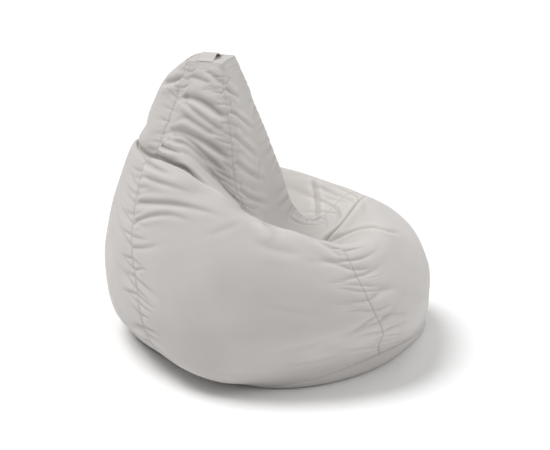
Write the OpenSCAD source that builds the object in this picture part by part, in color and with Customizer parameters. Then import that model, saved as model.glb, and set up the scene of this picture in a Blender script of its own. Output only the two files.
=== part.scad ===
// Bean bag chair: a pear shaped fabric cover, sat down into a seat with a back,
// over a zipped inner liner that holds the bead fill.
// Millimetres. +Z is up, the sitter faces -Y, and the origin is on the floor
// under the middle of the chair.

/* [Overall size] */
// Widest part of the cover, side to side
width = 965; // [800:5:1100]
// Cover from the front of the seat to the back
depth = 950; // [800:5:1100]
// Floor to the top cap, without the handle
height = 785; // [650:5:900]

/* [Fabric] */
// Thickness of the cover fabric
cover_t = 1.2; // [0.8:0.1:1.6]
// Thickness of the liner fabric
liner_t = 0.6; // [0.4:0.1:0.8]
// Slack between one layer and the next
layer_gap = 0.8; // [0.5:0.1:1.2]

/* [Handle] */
// Width of the handle webbing
handle_w = 45; // [30:1:50]
// Thickness of the handle webbing
handle_t = 2; // [1.5:0.1:3]
// How far the handle stands up over the cap
handle_rise = 14; // [10:1:25]
// Length of each end that is sewn down
handle_tab = 12; // [8:1:14]

/* [Zips] */
// Length of the closed teeth of the cover's zip
cover_zip = 500; // [300:10:520]
// Length of the closed teeth of the liner's zip
liner_zip = 420; // [300:10:460]
// Place of the cover's zip, front to back
cover_zip_y = -60; // [-120:5:0]
// Place of the liner's zip, front to back
liner_zip_y = 60; // [0:5:120]
// Spacing of the teeth
tooth_pitch = 5; // [4:1:10]

/* [Fineness] */
// Facets across one side panel
gore_steps = 8; // [6:1:9]
// Facets along one stretch of the outline
row_steps = 3; // [2:1:3]

/* [Hidden] */

cover_colour = [0.74, 0.72, 0.70];
liner_colour = [0.93, 0.93, 0.91];
tape_colour = [0.62, 0.60, 0.58];
tooth_colour = [0.55, 0.53, 0.51];
slider_colour = [0.70, 0.70, 0.71];
thread_colour = [0.80, 0.78, 0.76];
bead_colour = [0.97, 0.97, 0.97];

// The slouched outline. Each row is a level, from the hem at the base to the
// edge of the cap, and holds eight points: front, front right, right, back
// right, back, back left, left, front left. The seams run through the four
// corner points. Row 5 is the rim of the seat, and row 6 is the bottom of the
// crease where the back rises out of it.
outline = [
    [[72, -370, 22], [-180, -325, 52], [-389, -103, 14], [-288, 234, 14],
     [-20, 448, 22], [290, 250, 30], [350, 0, 30], [282, -294, 25]],
    [[75, -388, 75], [-243, -344, 104], [-462, -40, 50], [-382, 238, 72],
     [-15, 500, 72], [350, 290, 75], [415, 0, 70], [345, -275, 70]],
    [[85, -394, 135], [-275, -362, 155], [-488, -28, 125], [-392, 264, 145],
     [-10, 522, 150], [385, 325, 140], [455, 20, 130], [372, -265, 130]],
    [[90, -388, 210], [-290, -342, 215], [-490, -10, 215], [-365, 292, 232],
     [0, 528, 250], [375, 350, 225], [462, 40, 205], [372, -245, 195]],
    [[80, -340, 300], [-275, -295, 290], [-425, 30, 370], [-300, 330, 355],
     [0, 500, 380], [320, 370, 340], [412, 60, 312], [348, -200, 285]],
    [[60, -250, 360], [-220, -215, 365], [-302, 90, 498], [-185, 340, 520],
     [-10, 445, 525], [210, 370, 460], [305, 90, 393], [280, -110, 350]],
    [[0, -120, 299], [-155, -85, 300], [-262, 118, 488], [-155, 315, 525],
     [-10, 422, 530], [170, 325, 470], [200, 120, 340], [131, -56, 308]],
    [[0, 2, 316], [-146, -6, 344], [-228, 160, 524], [-160, 312, 555],
     [0, 425, 555], [165, 320, 520], [190, 150, 420], [112, 8, 336]],
    [[0, 61, 440], [-178, 72, 460], [-175, 200, 570], [-145, 302, 590],
     [0, 403, 590], [145, 305, 580], [170, 190, 530], [145, 65, 450]],
    [[0, 95, 580], [-145, 105, 610], [-150, 212, 630], [-122, 287, 640],
     [0, 388, 640], [120, 300, 640], [145, 210, 630], [118, 110, 590]],
    [[0, 135, 710], [-90, 142, 720], [-100, 215, 720], [-85, 277, 700],
     [0, 346, 720], [85, 280, 700], [98, 215, 720], [85, 145, 710]],
    [[0, 163, 785], [-50, 163, 785], [-52, 215, 785], [-50, 263, 785],
     [0, 272, 785], [50, 263, 785], [52, 215, 785], [50, 163, 785]]
];

// A smooth closed ring through eight points, 45 degrees apart
function ring_weights(turn) = [
    for (k = [0:7])
        let (d = turn - 45 * k)
        (1 + 2 * cos(d) + 2 * cos(2 * d) + 2 * cos(3 * d) + cos(4 * d)) / 8
];
function column(turn) =
    let (w = ring_weights(turn))
    [for (level = outline) w * level];

// A smooth curve up through the levels
function level_at(c, i) =
    i < 0 ? 2 * c[0] - c[1]
    : i >= len(c) ? 2 * c[len(c) - 1] - c[len(c) - 2]
    : c[i];
function up_column(c, u) =
    let (
        i = min(floor(u), len(c) - 2),
        f = u - i,
        p = level_at(c, i - 1),
        q = c[i],
        r = c[i + 1],
        s = level_at(c, i + 2)
    )
    q + 0.5 * f * (r - p + f * (2 * p - 5 * q + 4 * r - s + f * (3 * (q - r) + s - p)));

// The cover is a grid of points: turns around it, and rises up it
turn_count = 4 * gore_steps;
top_level = len(outline) - 1;
liner_end = 0.1;  // the liner stops this part of a level below the cap
rises = concat(
    [for (j = [0:row_steps * top_level - 1]) j / row_steps],
    [top_level - liner_end, top_level]
);
last_rise = len(rises) - 1;
drawn = [
    for (i = [0:turn_count - 1])
        let (c = column(-45 + i * 90 / gore_steps))
        [for (u = rises) up_column(c, u)]
];

// Stretched to the stated size, and centred over the origin
function axis_values(grid, axis) = [for (line = grid) for (p = line) p[axis]];
drawn_lo = [for (a = [0:2]) min(axis_values(drawn, a))];
drawn_hi = [for (a = [0:2]) max(axis_values(drawn, a))];
stretch = [
    width / (drawn_hi.x - drawn_lo.x),
    depth / (drawn_hi.y - drawn_lo.y),
    height / drawn_hi.z
];
middle = [(drawn_lo.x + drawn_hi.x) / 2, (drawn_lo.y + drawn_hi.y) / 2];
cover = [
    for (line = drawn) [
        for (p = line)
            [(p.x - middle.x) * stretch.x, (p.y - middle.y) * stretch.y, p.z * stretch.z]
    ]
];

// Outward direction at each point of the cover
function unit(v) = v / norm(v);
outward = [
    for (i = [0:turn_count - 1]) [
        for (j = [0:last_rise])
            let (
                up = cover[i][min(j + 1, last_rise)] - cover[i][max(j - 1, 0)],
                on = cover[(i + 1) % turn_count][j]
                    - cover[(i + turn_count - 1) % turn_count][j]
            )
            unit(cross(up, on))
    ]
];
// The same grid, moved inward by a distance
function skin(inset) = [
    for (i = [0:turn_count - 1])
        [for (j = [0:last_rise]) cover[i][j] - inset * outward[i][j]]
];

// Layers, from the outside in
liner_inset = cover_t + layer_gap;
fill_inset = liner_inset + liner_t + layer_gap;
liner_last = last_rise - 1;
fill_last = last_rise - 2;

// Triangles over a grid of points, n across and m up; wrap joins its last line to its first
function grid_faces(n, m, first, flip, wrap) = [
    for (i = [0:n - (wrap ? 1 : 2)])
        for (j = [0:m - 2])
            let (
                a = first + i * m + j,
                b = first + ((i + 1) % n) * m + j
            )
            each (flip
                ? [[a, b + 1, b], [a, a + 1, b + 1]]
                : [[a, b, b + 1], [a, b + 1, a + 1]])
];

// A sheet with its outer face on one grid and its inner face on another
module sheet(outer, inner) {
    n = len(outer);
    m = len(outer[0]);
    k = n * m;
    across = [for (i = [0:n - 2]) i * m];
    upward = [for (j = [0:m - 2]) j];
    far = (n - 1) * m;
    polyhedron(
        points = concat([for (c = outer) each c], [for (c = inner) each c]),
        faces = concat(
            grid_faces(n, m, 0, false, false),
            grid_faces(n, m, k, true, false),
            [for (a = across) each [[a + m, a, k + a + m], [a, k + a, k + a + m]]],
            [for (a = across)
                let (t = a + m - 1)
                each [[t, t + m, k + t + m], [t, k + t + m, k + t]]],
            [for (j = upward) each [[j, j + 1, k + j + 1], [j, k + j + 1, k + j]]],
            [for (j = upward)
                let (t = far + j)
                each [[t + 1, t, k + t + 1], [t, k + t, k + t + 1]]]
        ),
        convexity = 10
    );
}

// One side panel between two seams: side 0 front, 1 right, 2 back, 3 left
module side_panel(side, inset, thickness, last) {
    outer = skin(inset);
    inner = skin(inset + thickness);
    lines = [for (i = [0:gore_steps]) (side * gore_steps + i) % turn_count];
    sheet(
        [for (i = lines) [for (j = [0:last]) outer[i][j]]],
        [for (i = lines) [for (j = [0:last]) inner[i][j]]]
    );
}

// The base rolls in from the hem to a flat sole
sole_reach = 0.93;  // part of the hem's reach that lies flat
roll_reach = 0.985; // part of the hem's reach at the middle of the roll
roll_rise = 0.35;   // height of that point, as a part of the hem's height
function ring_middle(level) = [
    for (a = [0:1])
        let (values = [for (line = cover) line[level][a]])
        (min(values) + max(values)) / 2
];
hem_middle = ring_middle(0);
function pulled(p, reach, inset, z) =
    let (
        v = [p.x, p.y] - hem_middle,
        w = hem_middle + v * (reach - inset / norm(v))
    )
    [w.x, w.y, z];
function base_lines(inset, sole_z) =
    let (hem = skin(inset))
    [
        for (i = [0:turn_count - 1])
            let (h = cover[i][0])
            [
                pulled(h, sole_reach, inset, sole_z),
                pulled(h, roll_reach, inset, sole_z + roll_rise * (h.z - sole_z)),
                hem[i][0]
            ]
    ];

module base_pan(inset, thickness, sole_z) {
    outer = base_lines(inset, sole_z);
    inner = base_lines(inset + thickness, sole_z + thickness);
    n = turn_count;
    m = len(outer[0]);
    k = n * m;
    polyhedron(
        points = concat([for (c = outer) each c], [for (c = inner) each c]),
        faces = concat(
            grid_faces(n, m, 0, false, true),
            grid_faces(n, m, k, true, true),
            [[for (i = [n - 1:-1:0]) i * m]],
            [[for (i = [0:n - 1]) k + i * m]],
            [for (i = [0:n - 1])
                let (a = i * m + m - 1, b = ((i + 1) % n) * m + m - 1)
                each [[a, b, k + b], [a, k + b, k + a]]]
        ),
        convexity = 10
    );
}

// Zip sizes, around the line where its teeth meet
slot_half = 9;      // half the width of the slot in the base
slot_spare = 10;    // slot past each end of the teeth
hem_w = 10;         // turned hem at each side of the slot
hem_t = 3;          // thickness of that hem
tape_out = 18;      // outer edge of the tape
tape_t = 0.6;       // thickness of the tape
tooth_in = 0.8;     // tips of the teeth from the middle line
tooth_root = 2;     // where the teeth join their spine
tooth_out = 3.4;    // outer side of the spine, where the tape starts
tooth_z = 2.2;      // underside of the teeth over the base's outer face
tooth_h = 2.2;      // height of the teeth
stop_l = 3;         // length of an end stop
stop_half = 3;      // half the width of an end stop
slider_l = 12;      // length of the slider
slider_half = 6;    // half the width of the slider
slider_z = 0.9;     // underside of the slider over the base's outer face
slider_h = 4.8;     // height of the slider
plate_t = 0.8;      // thickness of the slider's plates
lip_w = 1;          // width of the lips along the slider's sides
lip_h = 0.8;        // height of those lips
web_half = 0.4;     // half the thickness of the web between its plates
web_l = 4;          // length of that web
stop_gap = 1;       // from the last tooth to an end stop
slider_rest = 2;    // from the last tooth to the closed slider
flap_t = 0.5;       // thickness of the flap under the zip
flap_gap = 0.3;     // clearance at the flap's free edge
liner_sole_z = 7;   // liner base over the floor
big = 2000;

module half_space(side, y) {
    translate([-big / 2, side > 0 ? y : y - big, -big / 2]) cube(big);
}

// Half of a base, split along its zip, with a turned hem beside the slot
module base_half(side, inset, thickness, sole_z, zip_l, zip_y) {
    slot_l = zip_l + 2 * slot_spare;
    difference() {
        intersection() {
            base_pan(inset, thickness, sole_z);
            half_space(side, zip_y);
        }
        translate([-slot_l / 2, zip_y - slot_half, sole_z - 1])
            cube([slot_l, 2 * slot_half, thickness + 2]);
    }
    translate([
        -slot_l / 2,
        zip_y + (side > 0 ? slot_half : -slot_half - hem_w),
        sole_z
    ])
        cube([slot_l, hem_w, hem_t]);
}

module zip_tape(side, zip_l, zip_y, sole_z) {
    tape_w = tape_out - tooth_out;
    translate([
        -zip_l / 2 - slot_spare,
        zip_y + (side > 0 ? tooth_out : -tape_out),
        sole_z + hem_t
    ])
        cube([zip_l + 2 * slot_spare, tape_w, tape_t]);
}

// One side's teeth, joined by a spine
module zip_teeth(side, zip_l, zip_y, sole_z) {
    teeth = floor(zip_l / tooth_pitch);
    start = -teeth * tooth_pitch / 2;
    shift = side > 0 ? 0 : tooth_pitch / 2;
    comb = concat(
        [[start, tooth_out]],
        [for (t = [0:teeth - 1])
            let (x = start + t * tooth_pitch + shift * (t < teeth - 1 ? 1 : 0))
            each [
                [x, tooth_root],
                [x, tooth_in],
                [x + tooth_pitch / 3, tooth_in],
                [x + tooth_pitch / 3, tooth_root]
            ]],
        [[-start, tooth_root], [-start, tooth_out]]
    );
    translate([0, zip_y, sole_z + tooth_z])
        scale([1, side, 1])
            linear_extrude(tooth_h) polygon(comb);
}

// A stop past each end of the teeth, under the tapes
module zip_stops(zip_l, zip_y, sole_z) {
    for (side = [-1, 1])
        translate([
            side * (zip_l / 2 + stop_gap + stop_l / 2) - stop_l / 2,
            zip_y - stop_half,
            sole_z + tooth_z
        ])
            cube([stop_l, 2 * stop_half, hem_t - tooth_z]);
}

// Two plates round the teeth, joined by a web at one end, with lips at the sides
module slider(zip_l, zip_y, sole_z) {
    rest_x = zip_l / 2 - slider_l / 2 - slider_rest;
    nose = slider_half;
    module plate() {
        translate([-slider_l / 2 + nose, -slider_half, 0])
            cube([slider_l - nose, 2 * slider_half, plate_t]);
        translate([-slider_l / 2 + nose, 0, 0])
            cylinder(r = nose, h = plate_t, $fn = 64);
    }
    translate([rest_x, zip_y, sole_z + slider_z]) {
        plate();
        translate([0, 0, slider_h - plate_t]) plate();
        translate([slider_l / 2 - web_l, -web_half, plate_t])
            cube([web_l, 2 * web_half, slider_h - 2 * plate_t]);
        for (y = [-slider_half, slider_half - lip_w])
            for (z = [plate_t, slider_h - plate_t - lip_h])
                translate([0, y, z]) cube([slider_l / 2, lip_w, lip_h]);
    }
}

// ---- cover ----
module front_panel() {
    color(cover_colour) side_panel(0, 0, cover_t, last_rise);
}
module right_side_panel() {
    color(cover_colour) side_panel(1, 0, cover_t, last_rise);
}
module back_panel() {
    color(cover_colour) side_panel(2, 0, cover_t, last_rise);
}
module left_side_panel() {
    color(cover_colour) side_panel(3, 0, cover_t, last_rise);
}

// A flat prism inside one ring of the grid
cap_middle = ring_middle(last_rise);
module ring_plate(level, inset, z, thickness) {
    translate([0, 0, z])
        linear_extrude(thickness)
            polygon([
                for (c = cover)
                    let (v = [c[level].x, c[level].y] - cap_middle)
                    cap_middle + v * (1 - inset / norm(v))
            ]);
}
cap_slack = 0.5; // clearance between a cap and the panels round it
module top_cap() {
    color(cover_colour)
        ring_plate(last_rise, cover_t + cap_slack, height - cover_t, cover_t);
}
module base_front_panel() {
    color(cover_colour) base_half(-1, 0, cover_t, 0, cover_zip, cover_zip_y);
}
module base_rear_panel() {
    color(cover_colour) base_half(1, 0, cover_t, 0, cover_zip, cover_zip_y);
}

// ---- handle ----
cap_half = max([for (line = cover) line[last_rise].x]) - cap_middle.x;
handle_inset = 3;                       // from the cap's edge to the handle's end
handle_end = cap_half - cover_t - cap_slack - handle_inset;
handle_span = handle_end - handle_tab;  // start of the arch from the middle
arch_steps = 24;
function arch_z(x) = handle_rise * pow(cos(90 * x / handle_span), 2);
module carry_handle() {
    xs = [for (i = [0:arch_steps]) handle_span * (2 * i / arch_steps - 1)];
    band = concat(
        [[-handle_end, 0]],
        [for (x = xs) [x, arch_z(x)]],
        [[handle_end, 0], [handle_end, handle_t]],
        [for (i = [arch_steps:-1:0]) [xs[i], arch_z(xs[i]) + handle_t]],
        [[-handle_end, handle_t]]
    );
    color(cover_colour)
        translate([cap_middle.x, cap_middle.y + handle_w / 2, height])
            rotate([90, 0, 0])
                linear_extrude(handle_w) polygon(band);
}
tack_rows = 2;
tack_stitches = 9;
tack_l = 2.6;
tack_w = 0.8;
tack_t = 0.5;
tack_margin = 3;    // from the handle's edges to the stitches
tack_row_gap = 6;   // from one row to the next
module handle_bar_tacks() {
    pitch = (handle_w - 2 * tack_margin) / tack_stitches;
    color(thread_colour)
        for (side = [-1, 1])
            for (row = [0:tack_rows - 1])
                for (s = [0:tack_stitches - 1])
                    translate([
                        cap_middle.x + side * (handle_end - tack_margin - row * tack_row_gap)
                            - tack_w / 2,
                        cap_middle.y - handle_w / 2 + tack_margin + (s + 0.5) * pitch
                            - tack_l / 2,
                        height + handle_t
                    ])
                        cube([tack_w, tack_l, tack_t]);
}

// ---- cover zip ----
module zip_tape_front() {
    color(tape_colour) zip_tape(-1, cover_zip, cover_zip_y, 0);
}
module zip_tape_rear() {
    color(tape_colour) zip_tape(1, cover_zip, cover_zip_y, 0);
}
module zip_teeth_front() {
    color(tooth_colour) zip_teeth(-1, cover_zip, cover_zip_y, 0);
}
module zip_teeth_rear() {
    color(tooth_colour) zip_teeth(1, cover_zip, cover_zip_y, 0);
}
module zip_end_stops() {
    color(slider_colour) zip_stops(cover_zip, cover_zip_y, 0);
}
module zip_slider() {
    color(slider_colour) slider(cover_zip, cover_zip_y, 0);
}
// Covers the zip from below; sewn to the front hem
module zip_flap() {
    flap_l = cover_zip + 2 * slot_spare - 2 * flap_gap;
    color(cover_colour)
        translate([-flap_l / 2, cover_zip_y - slot_half, 0])
            cube([flap_l, 2 * slot_half - flap_gap, flap_t]);
}

// ---- care label, blank, caught in the back hem ----
label_w = 36;
label_h = 18;
label_t = 0.4;
label_out = 1;      // from the hem out to the label
label_drop = 1;     // from the hem down to the label
module care_label() {
    hem = cover[turn_count * 5 / 8][0];
    color(liner_colour)
        translate([hem.x - label_w / 2, hem.y + label_out, hem.z - label_drop - label_h])
            cube([label_w, label_t, label_h]);
}

// ---- liner ----
module liner_front_panel() {
    color(liner_colour) side_panel(0, liner_inset, liner_t, liner_last);
}
module liner_right_panel() {
    color(liner_colour) side_panel(1, liner_inset, liner_t, liner_last);
}
module liner_back_panel() {
    color(liner_colour) side_panel(2, liner_inset, liner_t, liner_last);
}
module liner_left_panel() {
    color(liner_colour) side_panel(3, liner_inset, liner_t, liner_last);
}
module liner_cap() {
    ring_z = min([for (c = cover) c[liner_last].z]);
    color(liner_colour)
        ring_plate(
            liner_last,
            liner_inset + liner_t + 2 * cap_slack,
            ring_z - liner_inset - liner_t,
            liner_t
        );
}
module liner_base_front() {
    color(liner_colour)
        base_half(-1, liner_inset, liner_t, liner_sole_z, liner_zip, liner_zip_y);
}
module liner_base_rear() {
    color(liner_colour)
        base_half(1, liner_inset, liner_t, liner_sole_z, liner_zip, liner_zip_y);
}

// ---- liner zip ----
module liner_zip_tape_front() {
    color(tape_colour) zip_tape(-1, liner_zip, liner_zip_y, liner_sole_z);
}
module liner_zip_tape_rear() {
    color(tape_colour) zip_tape(1, liner_zip, liner_zip_y, liner_sole_z);
}
module liner_zip_teeth_front() {
    color(tooth_colour) zip_teeth(-1, liner_zip, liner_zip_y, liner_sole_z);
}
module liner_zip_teeth_rear() {
    color(tooth_colour) zip_teeth(1, liner_zip, liner_zip_y, liner_sole_z);
}
module liner_zip_end_stops() {
    color(slider_colour) zip_stops(liner_zip, liner_zip_y, liner_sole_z);
}
module liner_zip_slider() {
    color(slider_colour) slider(liner_zip, liner_zip_y, liner_sole_z);
}

// ---- fill: the beads as one body, with room left over the liner's zip ----
room_spare = 2;     // clearance of that room at each end
room_side = 1;      // and at its sides and over the slider
module bead_fill() {
    sole_z = liner_sole_z + liner_t + layer_gap;
    sides = skin(fill_inset);
    under = base_lines(fill_inset, sole_z);
    lines = [
        for (i = [0:turn_count - 1])
            concat([under[i][0], under[i][1]], [for (j = [0:fill_last]) sides[i][j]])
    ];
    n = turn_count;
    m = len(lines[0]);
    top = [cap_middle.x, cap_middle.y, min([for (c = lines) c[m - 1].z])];
    room_l = liner_zip + 2 * (slot_spare + room_spare);
    room_w = 2 * (slot_half + hem_w + room_side);
    color(bead_colour)
        difference() {
            polyhedron(
                points = concat([for (c = lines) each c], [top]),
                faces = concat(
                    grid_faces(n, m, 0, false, true),
                    [[for (i = [n - 1:-1:0]) i * m]],
                    [for (i = [0:n - 1]) [i * m + m - 1, ((i + 1) % n) * m + m - 1, n * m]]
                ),
                convexity = 10
            );
            translate([-room_l / 2, liner_zip_y - room_w / 2, 0])
                cube([room_l, room_w, liner_sole_z + slider_z + slider_h + room_side]);
        }
}

front_panel();
right_side_panel();
back_panel();
left_side_panel();
top_cap();
base_front_panel();
base_rear_panel();
carry_handle();
handle_bar_tacks();
zip_tape_front();
zip_tape_rear();
zip_teeth_front();
zip_teeth_rear();
zip_end_stops();
zip_slider();
zip_flap();
care_label();
liner_front_panel();
liner_right_panel();
liner_back_panel();
liner_left_panel();
liner_cap();
liner_base_front();
liner_base_rear();
liner_zip_tape_front();
liner_zip_tape_rear();
liner_zip_teeth_front();
liner_zip_teeth_rear();
liner_zip_end_stops();
liner_zip_slider();
bead_fill();
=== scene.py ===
"""Bean bag chair: the cloth, seams, strap, zips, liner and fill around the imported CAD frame."""

import itertools
import math

import bpy
import numpy as np
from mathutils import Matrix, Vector


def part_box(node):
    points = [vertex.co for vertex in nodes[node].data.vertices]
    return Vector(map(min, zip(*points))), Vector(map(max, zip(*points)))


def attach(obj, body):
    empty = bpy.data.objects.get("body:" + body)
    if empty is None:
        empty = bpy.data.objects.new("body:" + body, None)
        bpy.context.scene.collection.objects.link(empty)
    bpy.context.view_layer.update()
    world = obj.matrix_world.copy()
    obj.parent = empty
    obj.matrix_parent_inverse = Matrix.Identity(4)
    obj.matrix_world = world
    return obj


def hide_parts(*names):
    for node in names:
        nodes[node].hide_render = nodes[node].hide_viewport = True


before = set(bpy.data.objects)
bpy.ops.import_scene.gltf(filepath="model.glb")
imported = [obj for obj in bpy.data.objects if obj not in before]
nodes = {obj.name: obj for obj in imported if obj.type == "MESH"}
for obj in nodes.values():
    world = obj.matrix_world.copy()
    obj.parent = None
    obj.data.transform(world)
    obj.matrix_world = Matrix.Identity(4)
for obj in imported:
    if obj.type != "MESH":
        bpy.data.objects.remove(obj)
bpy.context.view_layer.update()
MM = 0.001


def box_of(name):
    """Lowest and highest corner of a CAD node, in metres."""
    lo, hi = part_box(name)
    return np.array(lo), np.array(hi)


def way_along(points, axis=0):
    """Distance along lines of points from the start of each; axis is the one that runs along them."""
    way = np.cumsum(np.linalg.norm(np.diff(points, axis=axis), axis=-1), axis=axis)
    return np.concatenate([np.zeros_like(way.take([0], axis)), way], axis=axis)


# ---- the slouched outline, as the CAD source has it, in millimetres ----
# Each row is a level from the hem to the cap, and each column is 45 degrees further round: front,
# front right, right, back right, back, back left, left, front left. Seams run up the corner columns.
OUTLINE = np.array([
    [[72, -370, 22], [-180, -325, 52], [-389, -103, 14], [-288, 234, 14],
     [-20, 448, 22], [290, 250, 30], [350, 0, 30], [282, -294, 25]],
    [[75, -388, 75], [-243, -344, 104], [-462, -40, 50], [-382, 238, 72],
     [-15, 500, 72], [350, 290, 75], [415, 0, 70], [345, -275, 70]],
    [[85, -394, 135], [-275, -362, 155], [-488, -28, 125], [-392, 264, 145],
     [-10, 522, 150], [385, 325, 140], [455, 20, 130], [372, -265, 130]],
    [[90, -388, 210], [-290, -342, 215], [-490, -10, 215], [-365, 292, 232],
     [0, 528, 250], [375, 350, 225], [462, 40, 205], [372, -245, 195]],
    [[80, -340, 300], [-275, -295, 290], [-425, 30, 370], [-300, 330, 355],
     [0, 500, 380], [320, 370, 340], [412, 60, 312], [348, -200, 285]],
    [[60, -250, 360], [-220, -215, 365], [-302, 90, 498], [-185, 340, 520],
     [-10, 445, 525], [210, 370, 460], [305, 90, 393], [280, -110, 350]],
    [[0, -120, 299], [-155, -85, 300], [-262, 118, 488], [-155, 315, 525],
     [-10, 422, 530], [170, 325, 470], [200, 120, 340], [131, -56, 308]],
    [[0, 2, 316], [-146, -6, 344], [-228, 160, 524], [-160, 312, 555],
     [0, 425, 555], [165, 320, 520], [190, 150, 420], [112, 8, 336]],
    [[0, 61, 440], [-178, 72, 460], [-175, 200, 570], [-145, 302, 590],
     [0, 403, 590], [145, 305, 580], [170, 190, 530], [145, 65, 450]],
    [[0, 95, 580], [-145, 105, 610], [-150, 212, 630], [-122, 287, 640],
     [0, 388, 640], [120, 300, 640], [145, 210, 630], [118, 110, 590]],
    [[0, 135, 710], [-90, 142, 720], [-100, 215, 720], [-85, 277, 700],
     [0, 346, 720], [85, 280, 700], [98, 215, 720], [85, 145, 710]],
    [[0, 163, 785], [-50, 163, 785], [-52, 215, 785], [-50, 263, 785],
     [0, 272, 785], [50, 263, 785], [52, 215, 785], [50, 163, 785]],
], float)
TOP = len(OUTLINE) - 1
COVER_T = 1.2 * MM
LINER_T = 0.6 * MM
LAYER_GAP = 0.8 * MM
SEAMS = (-45, 45, 135, 225)
SIDES = ("front", "right", "back", "left")


def ring_weights(turns):
    """A smooth closed ring through eight points, 45 degrees apart."""
    away = np.radians(np.asarray(turns, float)[:, None] - 45 * np.arange(8))
    return (1 + 2 * np.cos(away) + 2 * np.cos(2 * away) + 2 * np.cos(3 * away) + np.cos(4 * away)) / 8


def level_weights(levels):
    """A smooth curve up through the levels, straight on past each end."""
    levels = np.asarray(levels, float)
    start = np.clip(np.floor(levels).astype(int), 0, TOP - 1)
    f = levels - start
    parts = (
        (-f + 2 * f**2 - f**3) / 2,
        (2 - 5 * f**2 + 3 * f**3) / 2,
        (f + 4 * f**2 - 3 * f**3) / 2,
        (f**3 - f**2) / 2,
    )
    weights = np.zeros((len(levels), TOP + 3))
    for k, part in enumerate(parts):
        weights[np.arange(len(levels)), start + k] += part
    weights[:, 1] += 2 * weights[:, 0]
    weights[:, 2] -= weights[:, 0]
    weights[:, -2] += 2 * weights[:, -1]
    weights[:, -3] -= weights[:, -1]
    return weights[:, 1:-1]


def drawn(turns, levels):
    """Grid of points of the outline, [level, turn], in the outline's own millimetres."""
    return np.einsum("rl,tk,lkx->rtx", level_weights(levels), ring_weights(turns), OUTLINE)


# The CAD cover is this outline on a coarse grid, stretched to its stated size
COARSE_TURNS = -45 + 11.25 * np.arange(32)
COARSE_LEVELS = np.append(np.arange(3 * TOP) / 3, [TOP - 0.1, TOP])
coarse = drawn(COARSE_TURNS, COARSE_LEVELS).reshape(-1, 3)
panel_boxes = [box_of(n) for n in ("front_panel", "right_side_panel", "back_panel", "left_side_panel")]
cover_lo = np.min([lo for lo, hi in panel_boxes], axis=0)
cover_hi = np.max([hi for lo, hi in panel_boxes], axis=0)
STRETCH = (cover_hi - cover_lo)[:2] / (coarse.max(0) - coarse.min(0))[:2]
STRETCH = np.append(STRETCH, cover_hi[2] / coarse[:, 2].max())
MIDDLE = np.append((coarse.max(0) + coarse.min(0))[:2] / 2, 0)


def surface(turns, levels):
    """Grid of points of the cover's outer face before its folds, [level, turn], in metres."""
    return (drawn(turns, levels) - MIDDLE) * STRETCH


# ---- the fine grid ----
ACROSS = 108  # facets across one panel
ROWS = 400    # facets up a panel
EDGE_FINER = 0.35  # how much finer the facets are beside a seam


def even_levels(count):
    """Levels that step evenly up the cloth, on the average of all turns."""
    levels = np.linspace(0, TOP, 40 * TOP + 1)
    lines = surface(np.arange(0, 360, 15), levels)
    steps = np.linalg.norm(np.diff(lines, axis=0), axis=2).mean(1)
    way = np.concatenate([[0], np.cumsum(steps)])
    return np.interp(np.linspace(0, way[-1], count + 1), way, levels)


share = np.arange(ACROSS) / ACROSS
share = share - EDGE_FINER * np.sin(2 * np.pi * share) / (2 * np.pi)
TURNS = np.concatenate([seam + 90 * share for seam in SEAMS])
LEVELS = even_levels(ROWS)
COLUMNS = len(TURNS)
BASE = surface(TURNS, LEVELS)


def outward_of(grid):
    """Unit normals of a grid that wraps round, away from the chair."""
    up = np.gradient(grid, axis=0)
    on = np.roll(grid, -1, 1) - np.roll(grid, 1, 1)
    normal = np.cross(up, on)
    return normal / np.maximum(np.linalg.norm(normal, axis=2, keepdims=True), 1e-12)


OUTWARD = outward_of(BASE)


def panel_columns(side):
    """The columns of one panel, both of its seams included."""
    return (side * ACROSS + np.arange(ACROSS + 1)) % COLUMNS


# Distance of each point from the seam before it and the seam after it, along its row
from_seam = np.zeros((2, ROWS + 1, COLUMNS))
for side in range(4):
    way = way_along(BASE[:, panel_columns(side)], 1)
    inside = side * ACROSS + np.arange(ACROSS)
    from_seam[0][:, inside] = way[:, :-1]
    from_seam[1][:, inside] = (way[:, -1:] - way)[:, :-1]
# Distance up each seam, for each row
seam_way = [way_along(BASE[:, side * ACROSS]) for side in range(4)]

# ---- folds ----
# A fold follows points (turn, level). depth sinks its bottom, and a negative depth raises it instead.
# left and right raise the cloth beside it, as seen along the fold from outside. These and width are in
# millimetres. fade is the share of its length that each end takes to come in.


def fold(path, depth, width, left=0, right=0, fade=(0.25, 0.25)):
    return dict(path=path, depth=depth, width=width, left=left, right=right, fade=fade)


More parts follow.
